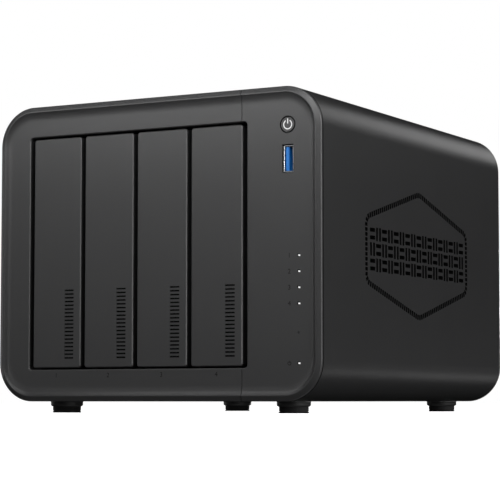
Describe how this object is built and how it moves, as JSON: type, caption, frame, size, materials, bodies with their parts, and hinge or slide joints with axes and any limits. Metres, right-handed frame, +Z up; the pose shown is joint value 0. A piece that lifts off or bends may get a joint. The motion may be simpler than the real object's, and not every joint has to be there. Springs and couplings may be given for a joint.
{
  "type": "nas enclosure",
  "caption": "Desktop network storage enclosure with upright slide-out drive trays, pull levers, slotted side vents, a rear fan and front status lights.",
  "frame": {"origin": "on the surface it stands on, under the middle of the case", "axes": "+Y from the front bezel to the rear panel, +Z up, +X towards the control column on the front's right"},
  "size_m": [0.1778, 0.219, 0.1501],
  "materials": {
    "shell": "fine moulded texture, matt black",
    "bezel": "fine moulded texture, satin charcoal",
    "tray_face": "fine moulded texture, satin charcoal",
    "inner_frame": "plain moulded, dark",
    "rubber": "soft, matt",
    "circuit_board": "solder mask over glass-fibre board",
    "connector_plastic": "plain moulded, black",
    "steel": "plated, bright",
    "aluminium": "anodised, grey",
    "usb_tongue": "plain moulded, blue",
    "lamp": "clear light guide, lit white"
  },
  "bodies": {
    "case": {"backplane_board": "circuit_board", "bay_bezel": "bezel", "control_panel": "bezel", "dc_jack": "connector_plastic", "drive_cage": "inner_frame", "fan_frame": "inner_frame", "foot_cup_front_left": "inner_frame", "foot_cup_front_right": "inner_frame", "foot_cup_rear_left": "inner_frame", "foot_cup_rear_right": "inner_frame", "foot_pad_front_left": "rubber", "foot_pad_front_right": "rubber", "foot_pad_rear_left": "rubber", "foot_pad_rear_right": "rubber", "front_io_board": "circuit_board", "hdmi_port": "steel", "heatsink": "aluminium", "lan_port_1": "steel", "lan_port_2": "steel", "main_board": "circuit_board", "memory_module": "circuit_board", "memory_socket": "connector_plastic", "outer_shell": "shell", "power_switch": "connector_plastic", "processor": "connector_plastic", "rear_panel": "shell", "rear_screw_1": "steel", "rear_screw_2": "steel", "rear_screw_3": "steel", "rear_screw_4": "steel", "sata_connector_1": "connector_plastic", "sata_connector_2": "connector_plastic", "sata_connector_3": "connector_plastic", "sata_connector_4": "connector_plastic", "status_light_pipe": "lamp", "usb_c_port": "steel", "usb_front_shell": "steel", "usb_front_tongue": "usb_tongue", "usb_rear_shell": "steel", "usb_rear_tongue": "usb_tongue"},
    "tray_1": {"tray_carrier_1": "inner_frame", "tray_hinge_pin_1": "steel", "tray_catch_spring_1": "steel"},
    "lever_1": {"tray_lever_1": "tray_face"},
    "tray_2": {"tray_carrier_2": "inner_frame", "tray_hinge_pin_2": "steel", "tray_catch_spring_2": "steel"},
    "lever_2": {"tray_lever_2": "tray_face"},
    "tray_3": {"tray_carrier_3": "inner_frame", "tray_hinge_pin_3": "steel", "tray_catch_spring_3": "steel"},
    "lever_3": {"tray_lever_3": "tray_face"},
    "tray_4": {"tray_carrier_4": "inner_frame", "tray_hinge_pin_4": "steel", "tray_catch_spring_4": "steel"},
    "lever_4": {"tray_lever_4": "tray_face"},
    "button": {"power_button": "bezel", "power_sign_lens": "lamp"},
    "rotor": {"fan_rotor": "inner_frame"}
  },
  "joints": [
    {"name": "tray_1_slide", "type": "slide", "parent": "case", "child": "tray_1", "axis": [0, -1, 0], "range_m": [0, 0.16]},
    {"name": "lever_1_hinge", "type": "hinge", "parent": "tray_1", "child": "lever_1", "pos_m": [-0.0555, -0.1054, 0.0257], "axis": [1, 0, 0], "range_deg": [0, 40]},
    {"name": "tray_2_slide", "type": "slide", "parent": "case", "child": "tray_2", "axis": [0, -1, 0], "range_m": [0, 0.16]},
    {"name": "lever_2_hinge", "type": "hinge", "parent": "tray_2", "child": "lever_2", "pos_m": [-0.0257, -0.1054, 0.0257], "axis": [1, 0, 0], "range_deg": [0, 40]},
    {"name": "tray_3_slide", "type": "slide", "parent": "case", "child": "tray_3", "axis": [0, -1, 0], "range_m": [0, 0.16]},
    {"name": "lever_3_hinge", "type": "hinge", "parent": "tray_3", "child": "lever_3", "pos_m": [0.0041, -0.1054, 0.0257], "axis": [1, 0, 0], "range_deg": [0, 40]},
    {"name": "tray_4_slide", "type": "slide", "parent": "case", "child": "tray_4", "axis": [0, -1, 0], "range_m": [0, 0.16]},
    {"name": "lever_4_hinge", "type": "hinge", "parent": "tray_4", "child": "lever_4", "pos_m": [0.0339, -0.1054, 0.0257], "axis": [1, 0, 0], "range_deg": [0, 40]},
    {"name": "power_button_travel", "type": "slide", "parent": "case", "child": "button", "axis": [0, 1, 0], "range_m": [0, 0.0012], "stiffness_N_per_m": 500, "springref_m": -0.0006},
    {"name": "fan_spin", "type": "hinge", "parent": "case", "child": "rotor", "pos_m": [-0.012, 0.0902, 0.0778], "axis": [0, 1, 0], "continuous": true}
  ]
}
